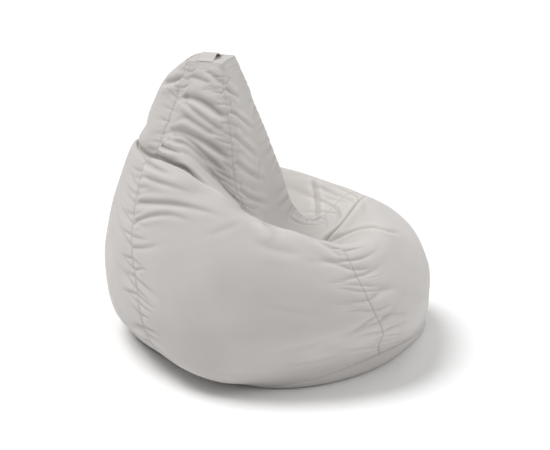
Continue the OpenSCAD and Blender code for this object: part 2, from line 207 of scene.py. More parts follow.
FOLDS = [
    # the back's near panel, from its rear seam down to its front seam
    fold([(170, 9.9), (150, 10.3), (137, 10.6)], 8, 10, 3, 5),
    fold([(115, 10.6), (90, 10.35), (67, 10.15)], 4, 9, 2, 2),
    fold([(82, 10.65), (62, 10.4), (47, 10.15)], 4, 8, 2, 2),
    fold([(127, 10.0), (95, 9.75), (73, 9.6), (47, 9.3)], 10, 11, 4, 5, (0.1, 0.2)),
    fold([(120, 9.75), (95, 9.5), (72, 9.25), (52, 9.05)], 5, 8, 3, 3, (0.1, 0.3)),
    fold([(118, 9.3), (90, 9.15), (60, 8.9)], 5, 9, 3, 3),
    fold([(130, 8.35), (105, 8.6), (79, 8.7), (46, 8.55)], 9, 10, 4, 4, (0.1, 0.25)),
    fold([(126, 8.05), (100, 8.3), (75, 8.35), (55, 8.2)], 6, 8, 3, 3, (0.1, 0.3)),
    fold([(128, 7.8), (93, 7.95), (65, 8.25)], 5, 9, 3, 3, (0.1, 0.3)),
    fold([(112, 7.45), (88, 7.6), (66, 7.75)], 3, 9, 2, 2),
    # the roll over the left end of the crease between the back and the seat
    fold([(133, 7.5), (124, 7.35), (114, 7.3), (102, 7.3)], 8, 7, 6, 5, (0.05, 0.4)),
    # the front of the back, off its near seam
    fold([(41, 10.1), (25, 9.95), (5, 9.8)], 5, 8, 3, 3, (0.05, 0.5)),
    fold([(42, 9.55), (10, 9.29), (348, 9.05)], 7, 8, 4, 4, (0.05, 0.5)),
    fold([(42, 9.05), (14, 8.78), (353, 8.5)], 6, 9, 3, 3, (0.05, 0.5)),
    fold([(42, 8.6), (16, 8.36), (353, 8.0)], 6, 9, 3, 3, (0.05, 0.5)),
    fold([(41, 8.15), (20, 7.9), (0, 7.6)], 5, 8, 3, 3, (0.05, 0.5)),
    # long wrinkles off the rear seam, over the near side of the belly
    fold([(134, 4.45), (117, 4.51), (100, 4.56), (84, 4.59)], 6, 8, 3, 2, (0.05, 0.6)),
    fold([(134, 4.8), (110, 4.77), (96, 4.78)], 4, 7, 2, 2, (0.05, 0.6)),
    fold([(134, 4.2), (113, 4.39), (98, 4.34)], 4, 7, 2, 2, (0.05, 0.6)),
    fold([(134, 5.1), (120, 5.0), (108, 4.98)], 5, 7, 3, 3, (0.05, 0.6)),
    # the lumpy rim over the seat: full behind, sagging in front
    fold([(136, 4.95), (118, 4.88), (98, 4.85)], -11, 40, fade=(0.3, 0.4)),
    fold([(90, 5.15), (76, 5.08), (60, 5.0)], 17, 34, fade=(0.35, 0.35)),
    fold([(80, 4.4), (70, 4.36), (60, 4.5)], 2, 13, 1, 2, (0.4, 0.4)),
    fold([(73, 5.0), (71, 4.8), (69, 4.6)], 3, 15, 2, 3),
    fold([(54, 5.0), (50, 4.7), (47, 4.5)], 3, 10, 2, 2),
    # the line where the near side's rim meets the back
    fold([(120, 6.1), (108, 6.38), (100, 6.36), (92, 6.3), (82, 6.3)], 12, 7, 2, 2, (0.35, 0.3)),
    # creases where the seat folds
    fold([(4, 6.1), (350, 5.75), (338, 5.35), (324, 4.7)], 17, 8, 0, 8, (0.1, 0.35)),
    fold([(8, 6.1), (5, 5.5), (12, 4.97), (2, 4.3)], 8, 8, 1, 4, (0.1, 0.5)),
    fold([(283, 5.0), (291, 5.3), (302, 5.65), (310, 6.0)], 6, 7, 2, 2, (0.2, 0.2)),
    fold([(318, 7.6), (314, 7.0), (312, 6.3), (312, 5.8)], 10, 5, 3, 3, (0.2, 0.1)),
    fold([(338, 7.2), (335, 6.6), (334, 6.0)], 5, 6, 2, 2, (0.3, 0.2)),
]


def smooth_path(points, count=24):
    """count (turn, level) places on a smooth line through the given ones."""
    p = np.array(points, float)
    p[:, 0] = np.degrees(np.unwrap(np.radians(p[:, 0])))
    knots = np.linspace(0, 1, len(p))
    at = np.linspace(0, 1, count)
    power = min(3, len(p) - 1)
    return np.stack([np.polyval(np.polyfit(knots, p[:, k], power), at) for k in range(2)], axis=1)


def surface_points(places):
    """Points of the smooth cover at (turn, level) places."""
    turns, levels = places[:, 0], places[:, 1]
    on_ring = np.einsum("pk,pl,lkx->px", ring_weights(turns), level_weights(levels), OUTLINE)
    return (on_ring - MIDDLE) * STRETCH


def eased(x):
    x = np.clip(x, 0, 1)
    return x * x * (3 - 2 * x)


FOLD_REACH = 7               # how many of its own widths a fold's shape reaches
TURN_ROOM, LEVEL_ROOM = 25, 0.9  # how far past its line the cells are looked through
BESIDE, BESIDE_W = 2, 1.4    # where the raised cloth lies beside a fold, and how wide, in its widths


def add_fold(height, f):
    """Adds one fold to the grid of heights."""
    places = smooth_path(f["path"])
    line = surface_points(places)
    width = f["width"] * MM
    away = (TURNS - places[:, :1].mean() + 180) % 360 - 180
    low, high = places[:, 1].min() - LEVEL_ROOM, places[:, 1].max() + LEVEL_ROOM
    rows = np.nonzero((LEVELS > low) & (LEVELS < high))[0]
    cols = np.nonzero(abs(away) < np.ptp(places[:, 0]) / 2 + TURN_ROOM)[0]
    block = np.ix_(rows, cols)
    p, out = BASE[block], OUTWARD[block]
    best = np.full(p.shape[:2], np.inf)
    along, side = np.zeros(best.shape), np.zeros(best.shape)
    lengths = np.linalg.norm(np.diff(line, axis=0), axis=1)
    start = np.concatenate([[0], np.cumsum(lengths)])
    for k, (a, b) in enumerate(zip(line[:-1], line[1:])):
        ab = b - a
        t = np.clip(((p - a) @ ab) / (ab @ ab), 0, 1)
        off = p - (a + t[..., None] * ab)
        far = np.linalg.norm(off, axis=2)
        nearer = far < best
        best = np.where(nearer, far, best)
        along = np.where(nearer, (start[k] + t * lengths[k]) / start[-1], along)
        side = np.where(nearer, np.sign(np.einsum("rcx,rcx->rc", np.cross(out, ab), off)), side)
    s = best * side
    come, go = f["fade"]
    fade = eased(along / come) * eased((1 - along) / go)
    shape = -f["depth"] * np.exp(-(s / width) ** 2)
    shape += f["left"] * np.exp(-((s - BESIDE * width) / (BESIDE_W * width)) ** 2)
    shape += f["right"] * np.exp(-((s + BESIDE * width) / (BESIDE_W * width)) ** 2)
    height[block] += shape * fade * (best / width < FOLD_REACH) * MM


# ---- seams, lumps and the first hint of each pucker ----
GROOVE = 1.2 * MM        # how far a seam is pulled in
GROOVE_W = 5 * MM        # how wide that pull is
BULGE = 2.0 * MM         # how far the cloth swells beside a seam
BULGE_AT = 45 * MM       # where it swells most
PUCKER_EVERY = (15, 36)  # spacing of puckers up a seam, in millimetres
PUCKER_ENDS = (14 * MM, 40 * MM)  # how far they keep from the hem and from the cap
PUCKER_DEPTH = 4.6      # in millimetres
PUCKER_STRONG = (0.5, 1.0)  # shares of that depth
PUCKER_REACH = (45, 150)  # how far they run out from the seam, in millimetres
PUCKER_WIDTH = (4.5, 7.5)  # in millimetres, at the seam
PUCKER_SLOPE = 0.3       # the most that one climbs, per length
PUCKER_BEND = 1.5        # and how much it curves, per metre
PUCKER_OPENS = 80 * MM   # a pucker is twice as wide this far from its seam
HELD, HELD_W = 0.45, 14 * MM  # the share of its depth that the seam takes away, and how far out
FULL_ROOM = 420 * MM     # width of a panel from which its puckers are at their deepest
LEAST_ROOM = 0.35        # the share of that on the narrowest rows


def add_seam_pull(height):
    """Each seam sits in a shallow groove, with the cloth swelling on both sides of it."""
    near = from_seam.min(axis=0)
    height -= GROOVE * np.exp(-(near / GROOVE_W) ** 2)
    height += BULGE * (near / BULGE_AT) * np.exp(1 - near / BULGE_AT)


def add_puckers(height, rng):
    """Narrow valleys that start at the seams and run out across the panels."""
    for seam in range(4):
        way = seam_way[seam][:, None]
        spots = [PUCKER_ENDS[0]]
        while spots[-1] < way[-1, 0] - PUCKER_ENDS[1]:
            spots.append(spots[-1] + rng.uniform(*PUCKER_EVERY) * MM)
        strengths = rng.uniform(*PUCKER_STRONG, len(spots))
        for after in (False, True):
            side = seam if after else (seam - 1) % 4
            cols = (side * ACROSS + np.arange(ACROSS)) % COLUMNS
            d = from_seam[0 if after else 1][:, cols]
            room = np.clip(from_seam[:, :, cols].sum(axis=0) / FULL_ROOM, LEAST_ROOM, 1)
            total = np.zeros(d.shape)
            for spot, strong in zip(spots, strengths):
                reach = rng.uniform(*PUCKER_REACH) * MM * strong * room
                slope = rng.uniform(-PUCKER_SLOPE, PUCKER_SLOPE)
                bend = rng.uniform(-PUCKER_BEND, PUCKER_BEND)
                width = rng.uniform(*PUCKER_WIDTH) * MM * (1 + d / PUCKER_OPENS)
                across = way - spot - slope * d - bend * d**2
                out = (1 - HELD * np.exp(-(d / HELD_W) ** 2)) * np.exp(-(d / reach) ** 2)
                total -= np.exp(-(across / width) ** 2) * out * strong
            height[:, cols] += total * room * PUCKER_DEPTH * MM


def add_lumps(height, rng, count=26, size=0.7 * MM):
    """Slow unevenness over the whole cloth."""
    total = np.zeros(height.shape)
    for _ in range(count):
        wave = rng.normal(size=3)
        wave *= 2 * np.pi / (rng.uniform(0.09, 0.3) * np.linalg.norm(wave))
        total += np.cos(BASE @ wave + rng.uniform(0, 2 * np.pi))
    height += total * size / math.sqrt(count / 2)


def add_small_wrinkles(height, rng, count=70):
    """Short faint wrinkles, mostly level, over the whole cloth."""
    for _ in range(count):
        turn, level = rng.uniform(0, 360), rng.uniform(0.6, 10.4)
        reach, rise = rng.uniform(6, 22), rng.uniform(-0.35, 0.35)
        bend = rng.uniform(-0.08, 0.08)
        path = [(turn - reach, level - rise), (turn, level + bend), (turn + reach, level + rise)]
        deep = rng.uniform(0.8, 2.2)
        add_fold(height, fold(path, deep, rng.uniform(7, 15), deep / 3, deep / 3, (0.45, 0.45)))


rng = np.random.default_rng(7)
hem_way = np.linalg.norm(BASE - BASE[:1], axis=2)
top_way = np.linalg.norm(BASE - BASE[-1:], axis=2)
EDGE_SHARE = 0.15  # the share of the relief that is left right at the hem and the cap
sewn_edges = eased(hem_way / (14 * MM)) * (1 - EDGE_SHARE) + EDGE_SHARE
sewn_edges *= eased(top_way / (20 * MM)) * (1 - EDGE_SHARE) + EDGE_SHARE
height = np.zeros((ROWS + 1, COLUMNS))
add_seam_pull(height)
for f in FOLDS:
    add_fold(height, f)
add_lumps(height, rng)
add_small_wrinkles(height, rng)
hints = np.zeros(height.shape)
add_puckers(hints, rng)

# ---- simulation: the slack cloth settles between its seams ----
# Each panel is cut longer than its seams. It is held along its seams, the hem and the cap, keeps its own
# lengths, resists bending, and is drawn to a target shape: the outline with its folds and the first hint
# of each pucker. The spare length buckles into puckers. No contact with the fill is worked out.
SLACK_UP = 0.055         # spare length up the panel beside a seam, as a share
SLACK_REACH = 85 * MM    # how far from the seam most of it lies
SLACK_ALL = 0.012        # spare length everywhere
SLACK_ENDS = 0.05        # spare width beside the hem and the cap
ENDS_REACH = 22 * MM
ROUNDS = 140
SHEAR = 0.25             # how much the weave resists shear
HOLD_OUT = 0.035         # how firmly cloth outside its target shape is drawn back
HOLD_IN = 0.012          # and cloth inside it
BEND = 0.07              # resistance to bending outside the target shape
BEND_IN = 0.012          # and inside it
INNER = slice(1, -1)     # all points but the held edges


def by_panel(grid):
    """The four panels of a grid that wraps round, both seams included: [panel, row, column, ...]."""
    return np.stack([grid[:, panel_columns(side)] for side in range(4)])


def hold_lengths(x, free, a, b, rest, firm):
    """Moves the points at both ends of many edges towards the edges' own lengths."""
    edge = x[b] - x[a]
    long = np.sqrt(np.einsum("...k,...k->...", edge, edge))
    share_a, share_b = free[a], free[b]
    move = edge * (firm * (long - rest) / (long * np.maximum(share_a + share_b, 1)))[..., None]
    x[a] += move * share_a[..., None]
    x[b] -= move * share_b[..., None]


def edges_of(shape):
    """Batches of edges (a, b, firmness) in which no point comes twice."""
    batches = []
    everything = slice(None)
    for start in (0, 1):
        low, high = slice(start, shape[1] - 1, 2), slice(start + 1, shape[1], 2)
        left, right = slice(start, shape[2] - 1, 2), slice(start + 1, shape[2], 2)
        batches.append(((everything, low), (everything, high), 1.0))
        batches.append(((everything, everything, left), (everything, everything, right), 1.0))
        for one, two in ((slice(0, -1), slice(1, None)), (slice(1, None), slice(0, -1))):
            batches.append(((everything, low, one), (everything, high, two), SHEAR))
    return batches


def slack_of(seam_way_to, hem_to, top_to):
    """Shares of spare length up and across, at each point."""
    up = 1 + SLACK_ALL + SLACK_UP * np.exp(-(seam_way_to / SLACK_REACH) ** 2)
    ends = np.exp(-(hem_to / ENDS_REACH) ** 2) + np.exp(-(top_to / ENDS_REACH) ** 2)
    return up, 1 + SLACK_ALL / 2 + SLACK_ENDS * ends


def rest_length(flat, a, b, up, on):
    """Length of each edge of the cut cloth: the shape's edge, with its slack."""
    edge = flat[b] - flat[a]
    rise = np.gradient(flat, axis=1)[a]
    rise /= np.linalg.norm(rise, axis=-1, keepdims=True)
    upward = np.einsum("...k,...k->...", edge, rise)
    across = np.linalg.norm(edge - upward[..., None] * rise, axis=-1)
    return np.hypot(upward * up[a], across * on[a])


def lap(off):
    """How far each inner point stands off the mean of its four neighbours."""
    out = np.zeros_like(off)
    ring = off[:, :-2, 1:-1] + off[:, 2:, 1:-1] + off[:, 1:-1, :-2] + off[:, 1:-1, 2:]
    out[:, 1:-1, 1:-1] = off[:, 1:-1, 1:-1] - ring / 4
    return out


def settle(target, plain, normal, up, on):
    """The panels at rest near their target, with the lengths of the plain shape and its slack."""
    free = np.zeros(target.shape[:3])
    free[:, INNER, INNER] = 1
    edges = [(a, b, rest_length(plain, a, b, up, on), firm) for a, b, firm in edges_of(target.shape)]
    x = target.copy()
    for _ in range(ROUNDS):
        off = x - target
        inward = np.einsum("...k,...k->...", off, normal) < 0
        x -= off * (free * np.where(inward, HOLD_IN, HOLD_OUT))[..., None]
        bent = lap(lap(x - target))
        x -= bent * (free * 4 * np.where(inward, BEND_IN, BEND))[..., None]
        for a, b, rest, firm in edges:
            hold_lengths(x, free, a, b, rest, firm)
    return x


plain_shape = BASE + OUTWARD * (height * sewn_edges)[..., None]
target_shape = BASE + OUTWARD * ((height + hints) * sewn_edges)[..., None]
panels = settle(
    by_panel(target_shape), by_panel(plain_shape), by_panel(OUTWARD),
    *slack_of(by_panel(from_seam.min(axis=0)), by_panel(hem_way), by_panel(top_way)),
)
cloth = np.concatenate([panels[side][:, :-1] for side in range(4)], axis=1)
height = np.einsum("rck,rck->rc", cloth - BASE, OUTWARD)


# ---- meshes ----
def mesh_object(name, points, faces, smooth=True):
    mesh = bpy.data.meshes.new(name)
    sizes = np.fromiter(map(len, faces), int, len(faces))
    mesh.vertices.add(len(points))
    mesh.vertices.foreach_set("co", np.asarray(points, np.float32).ravel())
    mesh.loops.add(int(sizes.sum()))
    corners = np.fromiter(itertools.chain.from_iterable(faces), int, sizes.sum())
    mesh.loops.foreach_set("vertex_index", corners)
    mesh.polygons.add(len(faces))
    mesh.polygons.foreach_set("loop_start", np.cumsum(sizes) - sizes)
    mesh.update(calc_edges=True)
    mesh.validate()
    mesh.polygons.foreach_set("use_smooth", [smooth] * len(mesh.polygons))
    made = bpy.data.objects.new(name, mesh)
    bpy.context.scene.collection.objects.link(made)
    return made


def grid_faces(rows, cols, first, flip):
    """Four-sided faces over a grid of rows and columns; flip turns them inward."""
    a = first + (np.arange(rows - 1)[:, None] * cols + np.arange(cols - 1)).ravel()
    quads = np.stack([a, a + cols, a + cols + 1, a + 1], axis=1)
    return (quads[:, ::-1] if flip else quads).tolist()


def ring_faces(rows, cols, first=0, flip=False):
    """Four-sided faces over closed rings, cols points in each; flip turns them inward."""
    on = np.arange(cols)
    start = first + np.arange(rows - 1)[:, None] * cols
    a, b = (start + on).ravel(), (start + (on + 1) % cols).ravel()
    quads = [a, a + cols, b + cols, b] if flip else [a, b, b + cols, a + cols]
    return np.stack(quads, axis=1).tolist()


def shell(name, outer, inner):
    """A closed sheet between two open grids [row, column]; outward is up cross on."""
    rows, cols = outer.shape[:2]
    k = rows * cols
    faces = grid_faces(rows, cols, 0, False) + grid_faces(rows, cols, k, True)
    low = np.arange(cols)
    high = (rows - 1) * cols + low
    near = np.arange(rows) * cols
    far = near + cols - 1
    for line, turned in ((low, False), (high, True), (near, True), (far, False)):
        a, b = line[:-1], line[1:]
        quads = np.stack([a, b, b + k, a + k], axis=1)
        faces += (quads[:, ::-1] if turned else quads).tolist()
    return mesh_object(name, np.concatenate([outer.reshape(-1, 3), inner.reshape(-1, 3)]), faces)


def repeated(obj, values):
    """The same values for each face of a sheet, one for each point of the mesh."""
    values = np.asarray(values, np.float32)
    return np.concatenate([values] * (len(obj.data.vertices) // len(values)))


def set_uv(obj, places):
    """Puts each point's flat cloth place, in metres, into the weave coordinates."""
    places = repeated(obj, places)
    layer = obj.data.uv_layers.new(name="weave")
    loops = np.zeros(len(obj.data.loops), int)
    obj.data.loops.foreach_get("vertex_index", loops)
    layer.data.foreach_set("uv", places[loops].ravel())


def set_hollow(obj, values=(0.0,)):
    """How deep in a fold each point lies, which drives the painted shade that darkens the folds; a flat
    piece has none.
    """
    attribute = obj.data.attributes.new("hollow", "FLOAT", "POINT")
    attribute.data.foreach_set("value", repeated(obj, values))


# ---- materials ----
NOISE_RANGE = (0.3, 0.7)  # the range that most of a noise lies in
WAVE_PITCH = 0.314        # distance between the bands of a wave texture at scale 1


def material(name, colour, roughness, metallic=0.0, sheen=0.0, specular=0.5):
    made = bpy.data.materials.new(name)
    made.use_nodes = True
    shader = made.node_tree.nodes["Principled BSDF"]
    shader.inputs["Base Color"].default_value = (*colour, 1)
    shader.inputs["Roughness"].default_value = roughness
    shader.inputs["Metallic"].default_value = metallic
    shader.inputs["Sheen Weight"].default_value = sheen
    shader.inputs["Sheen Roughness"].default_value = 0.45
    shader.inputs["Specular IOR Level"].default_value = specular
    return made, made.node_tree, shader


def node(tree, kind, **inputs):
    made = tree.nodes.new(kind)
    for key, value in inputs.items():
        made.inputs[key.replace("_", " ")].default_value = value
    return made


def math_node(tree, operation, a, b):
    made = tree.nodes.new("ShaderNodeMath")
    made.operation = operation
    for k, value in enumerate((a, b)):
        if isinstance(value, (int, float)):
            made.inputs[k].default_value = value
        else:
            tree.links.new(value, made.inputs[k])
    return made.outputs[0]


def mapped(tree, value, low, high, to_low, to_high):
    made = tree.nodes.new("ShaderNodeMapRange")
    for key, number in (("From Min", low), ("From Max", high), ("To Min", to_low), ("To Max", to_high)):
        made.inputs[key].default_value = number
    tree.links.new(value, made.inputs["Value"])
    return made.outputs["Result"]


def noise(tree, scale, detail, roughness):
    place = tree.nodes.new("ShaderNodeTexCoord")
    made = node(tree, "ShaderNodeTexNoise", Scale=scale, Detail=detail, Roughness=roughness)
    tree.links.new(place.outputs["Object"], made.inputs["Vector"])
    return made.outputs["Fac"]


def bumped(tree, shader, relief, strength, distance):
    bump = node(tree, "ShaderNodeBump", Strength=strength, Distance=distance)
    tree.links.new(relief, bump.inputs["Height"])
    tree.links.new(bump.outputs["Normal"], shader.inputs["Normal"])


def tinted(tree, shader, colour, shade):
    """The base colour, made lighter and darker by a shade."""
    tint = tree.nodes.new("ShaderNodeVectorMath")
    tint.operation = "SCALE"
    tint.inputs[0].default_value = colour
    tree.links.new(shade, tint.inputs["Scale"])
    tree.links.new(tint.outputs["Vector"], shader.inputs["Base Color"])


def woven(name, colour, pitch, roughness=0.86, sheen=0.25, depth=0.12, mottle=0.05, fold_shade=0.0):
    """Cloth: crossed threads, slubs, and slow changes of shade. Its last argument paints shade into the
    folds: darker in them, a little lighter on ridges.
    """
    made, tree, shader = material(name, colour, roughness, sheen=sheen, specular=0.25)
    link = tree.links.new
    where = tree.nodes.new("ShaderNodeUVMap")
    where.uv_map = "weave"
    scale = WAVE_PITCH / pitch
    waves = []
    for direction in ("X", "Y"):
        wave = node(tree, "ShaderNodeTexWave", Scale=scale, Distortion=0.6, Detail=1.0, Detail_Scale=1.5)
        wave.bands_direction = direction
        link(where.outputs["UV"], wave.inputs["Vector"])
        waves.append(wave.outputs["Fac"])
    weave = math_node(tree, "MULTIPLY", waves[0], waves[1])
    slub = noise(tree, 420.0, 3.0, 0.6)
    broad = noise(tree, 9.0, 4.0, 0.55)
    relief = math_node(tree, "ADD", weave, math_node(tree, "MULTIPLY", slub, 0.8))
    bumped(tree, shader, relief, depth, 0.6 * MM)
    shade = mapped(tree, broad, *NOISE_RANGE, 1 - mottle, 1 + mottle)
    shade = math_node(tree, "ADD", shade, mapped(tree, weave, 0, 1, -0.04, 0.03))
    shade = math_node(tree, "ADD", shade, mapped(tree, slub, *NOISE_RANGE, -0.02, 0.02))
    # painted shade from the hollow attribute: darker in the folds, a little lighter on the ridges
    if fold_shade:
        folds = tree.nodes.new("ShaderNodeAttribute")
        folds.attribute_name = "hollow"
        dark = mapped(tree, folds.outputs["Fac"], -1, 1, -fold_shade, fold_shade * 0.5)
        shade = math_node(tree, "ADD", shade, dark)
    tinted(tree, shader, colour, shade)
    gloss = mapped(tree, slub, *NOISE_RANGE, roughness - 0.06, roughness + 0.06)
    link(gloss, shader.inputs["Roughness"])
    return made


def textured(name, colour, roughness, scale, metallic=0.0, spread=0.06, depth=0.15):
    """Moulded or cast stuff: fine grain, and small changes of shade and gloss."""
    made, tree, shader = material(name, colour, roughness, metallic)
    grain = noise(tree, scale, 4.0, 0.6)
    tinted(tree, shader, colour, mapped(tree, grain, *NOISE_RANGE, 1 - spread, 1 + spread))
    gloss = mapped(tree, grain, *NOISE_RANGE, roughness * 0.85, min(1, roughness * 1.15))
    tree.links.new(gloss, shader.inputs["Roughness"])
    bumped(tree, shader, grain, depth, 0.3 * MM)
    return made


# the cover cloth carries painted shade in its folds
cover_cloth = woven("cover_cloth", (0.585, 0.557, 0.535), 1.1 * MM, mottle=0.02, fold_shade=0.12)
webbing = woven("webbing", (0.60, 0.572, 0.55), 1.6 * MM, roughness=0.7, sheen=0.15, depth=0.3)
liner_cloth = woven("liner_cloth", (0.80, 0.80, 0.77), 0.7 * MM, roughness=0.8, sheen=0.1, depth=0.08)
tape_cloth = woven("tape_cloth", (0.45, 0.43, 0.41), 0.8 * MM, roughness=0.8, sheen=0.1)
label_cloth = woven("label_cloth", (0.85, 0.85, 0.84), 0.4 * MM, roughness=0.5, sheen=0.05)
thread = textured("thread", (0.70, 0.67, 0.64), 0.6, 2500.0, spread=0.1, depth=0.4)
nylon = textured("nylon", (0.42, 0.40, 0.38), 0.4, 900.0)
steel = textured("steel", (0.62, 0.62, 0.64), 0.32, 1400.0, metallic=1.0, spread=0.04, depth=0.08)


def bead_material():
    made, tree, shader = material("beads", (0.88, 0.88, 0.88), 0.6)
    place = tree.nodes.new("ShaderNodeTexCoord")
    cells = node(tree, "ShaderNodeTexVoronoi", Scale=250.0)
    tree.links.new(place.outputs["Object"], cells.inputs["Vector"])
    bumped(tree, shader, math_node(tree, "SUBTRACT", 1.0, cells.outputs["Distance"]), 1.0, 2 * MM)
    # painted shade: each bead darker towards its edge and in the gaps between beads
    tinted(tree, shader, (0.9, 0.9, 0.9), mapped(tree, cells.outputs["Distance"], 0, 0.8, 1.0, 0.6))
    return made


beads = bead_material()


def dress(obj, made, body="chair", nodes_stood_for=()):
    obj.data.materials.clear()
    obj.data.materials.append(made)
    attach(obj, body)
    if nodes_stood_for:
        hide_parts(*nodes_stood_for)
    return obj


# ---- the cover's panels ----
def blurred(grid, times):
    out = grid.copy()
    for _ in range(times):
        sides = (np.roll(out, 1, 1) + np.roll(out, -1, 1)) / 2
        padded = np.concatenate([out[:1], out, out[-1:]])
        out = out / 2 + (sides + (padded[:-2] + padded[2:]) / 2) / 4
    return out


# the painted shade of the cover's folds follows each point's height above or below its surroundings
HOLLOW_FULL = 2.5 * MM  # the depth at which a fold is at its darkest
hollow = np.clip((height - blurred(height, 40)) / HOLLOW_FULL, -1, 1)
row_way = np.concatenate([[0], np.cumsum(np.linalg.norm(np.diff(BASE, axis=0), axis=2).mean(1))])


def flat_places(side):
    """Each grid point's place on the flat cut panel, in metres."""
    way = way_along(BASE[:, panel_columns(side)], 1)
    across = way - way[:, -1:] / 2
    return np.stack([across, np.broadcast_to(row_way[:, None], across.shape)], axis=2)


def grid_area(grid):
    """Area of an open grid of points."""
    one = grid[1:, 1:] - grid[:-1, :-1]
    other = grid[1:, :-1] - grid[:-1, 1:]
    return float(np.linalg.norm(np.cross(one, other), axis=2).sum() / 2)


cloth_out = outward_of(cloth)
for side, label in enumerate(SIDES):
    cols = panel_columns(side)
    outer = cloth[:, cols]
    inner = outer - OUTWARD[:, cols] * COVER_T
    node_name = label + "_panel" if label in ("front", "back") else label + "_side_panel"
    panel = shell(f"cover_{label}", outer, inner)
    set_uv(panel, flat_places(side).reshape(-1, 2))
    set_hollow(panel, hollow[:, cols].ravel())
    dress(panel, cover_cloth, nodes_stood_for=[node_name])


# ---- layers under the cover ----
def eroded(grid, reach):
    """The lowest height within a few cells, so that an inner layer clears every fold."""
    out = grid.copy()
    for _ in range(reach):
        out = np.minimum(out, np.minimum(np.roll(out, 1, 1), np.roll(out, -1, 1)))
        padded = np.concatenate([out[:1], out, out[-1:]])
        out = np.minimum(out, np.minimum(padded[:-2], padded[2:]))
    return out


COARSER = 2  # the inner layers keep each second row and column
inner_height = blurred(eroded(height, 4), 3)[::COARSER, ::COARSER]
inner_base = BASE[::COARSER, ::COARSER]
inner_out = OUTWARD[::COARSER, ::COARSER]
inner_levels = LEVELS[::COARSER]
INNER_ACROSS = ACROSS // COARSER


def layer(inset):
    """The inner layers' grid, that far inside the cover."""
    return inner_base + inner_out * (inner_height - inset)[..., None]


def inner_columns(side):
    return (side * INNER_ACROSS + np.arange(INNER_ACROSS + 1)) % (4 * INNER_ACROSS)


LINER_INSET = COVER_T + LAYER_GAP
FILL_INSET = LINER_INSET + LINER_T + LAYER_GAP
LINER_ROWS = int(np.searchsorted(inner_levels, TOP - 0.12))  # the liner ends a little under the cap
for side, label in enumerate(SIDES):
    cols = inner_columns(side)
    outer = layer(LINER_INSET)[:LINER_ROWS, cols]
    inner = layer(LINER_INSET + LINER_T)[:LINER_ROWS, cols]
    panel = shell(f"liner_{label}", outer, inner)
    set_uv(panel, flat_places(side)[::COARSER, ::COARSER][:LINER_ROWS].reshape(-1, 2))
    dress(panel, liner_cloth, nodes_stood_for=[f"liner_{label}_panel"])


# ---- flat strips and thread ----
def swept(name, line, side_way, up_way, width, thick):
    """A flat strip with rounded edges along a line; side_way and up_way are its width and thickness ways."""
    line = np.asarray(line, float)
    side_way = np.broadcast_to(np.asarray(side_way, float), line.shape)
    up_way = np.broadcast_to(np.asarray(up_way, float), line.shape)
    half, r = width / 2, thick / 2
    turn = np.radians(np.linspace(-90, 90, 5))
    right = np.stack([half - r + r * np.cos(turn), r * np.sin(turn)], axis=1)
    flats = np.linspace(half - r, -half + r, 14)[1:-1]
    top = np.stack([flats, np.full(len(flats), r)], axis=1)
    left = np.stack([-half + r - r * np.cos(turn), -r * np.sin(turn)], axis=1)
    under = np.stack([flats[::-1], np.full(len(flats), -r)], axis=1)
    ring = np.concatenate([right, top, left, under])
    points = line[:, None] + side_way[:, None] * ring[None, :, :1] + up_way[:, None] * ring[None, :, 1:]
    count, around = len(line), len(ring)
    faces = ring_faces(count, around)
    faces.append(list(range(around))[::-1])
    faces.append([(count - 1) * around + k for k in range(around)])
    made = mesh_object(name, points.reshape(-1, 3), faces)
    set_uv(made, np.stack(np.meshgrid(ring[:, 0], way_along(line)), axis=2).reshape(-1, 2))
    return made


def evenly(line, step, *others):
    """Points step apart along a line, and other rows of values at the same places."""
    way = way_along(line)
    at = np.arange(step / 2, way[-1], step)
    rows = [line, *others]
    return [np.stack([np.interp(at, way, row[:, k]) for k in range(3)], axis=1) for row in rows]


def thread_bits(name, middles, runs, ups, radius):
    """Short threads, each along its run about its middle, that dip into the cloth at both ends."""
    long = np.linalg.norm(runs, axis=1, keepdims=True)
    along = runs / long
    up = ups - along * np.einsum("px,px->p", ups, along)[:, None]
    up /= np.linalg.norm(up, axis=1, keepdims=True)
    across = np.cross(along, up)
    spots = np.array([-0.5, -0.3, 0.0, 0.3, 0.5])
    dips = np.array([-0.9, 0.1, 0.45, 0.1, -0.9])
    thick = np.array([0.5, 0.95, 1.0, 0.95, 0.5])
    around = 6
    count = len(spots) * around
    turn = np.radians(np.arange(around) * 360 / around)
    ring_across = np.cos(turn)[None, :] * thick[:, None] * radius
    ring_up = np.sin(turn)[None, :] * thick[:, None] * radius + dips[:, None] * radius
    points = middles[:, None, None] + runs[:, None, None] * spots[None, :, None, None]
    points = points + across[:, None, None] * ring_across[None, ..., None]
    points = points + up[:, None, None] * ring_up[None, ..., None]
    one = ring_faces(len(spots), around)
    one += [list(range(around))[::-1], list(range(count - around, count))]
    faces = [[v + count * n for v in f] for n in range(len(middles)) for f in one]
    return mesh_object(name, points.reshape(-1, 3), faces)


def stitches(name, line, out, pitch=4.0 * MM, length=3.0 * MM, radius=0.4 * MM):
    """A row of machine stitches along a line."""
    middles, ups = evenly(line, pitch, out)
    along = np.gradient(middles, axis=0)
    along /= np.linalg.norm(along, axis=1, keepdims=True)
    return thread_bits(name, middles, along * length, ups, radius)


def joined(objs, name):
    """One object of several meshes."""
    with bpy.context.temp_override(active_object=objs[0], selected_editable_objects=objs):
        bpy.ops.object.join()
    objs[0].name = name
    return objs[0]


def beside_seam(side, away, at_start):
    """Line on the cover and its normals, at a distance from one seam of a panel."""
    cols = panel_columns(side)
    cols = cols if at_start else cols[::-1]
    line, out = cloth[:, cols[:16]], cloth_out[:, cols[:16]]
    way = way_along(line, 1)
    k = np.argmax(way > away, axis=1)
    r = np.arange(ROWS + 1)
    f = ((away - way[r, k - 1]) / (way[r, k] - way[r, k - 1]))[:, None]
    return line[r, k - 1] * (1 - f) + line[r, k] * f, out[r, k - 1] * (1 - f) + out[r, k] * f


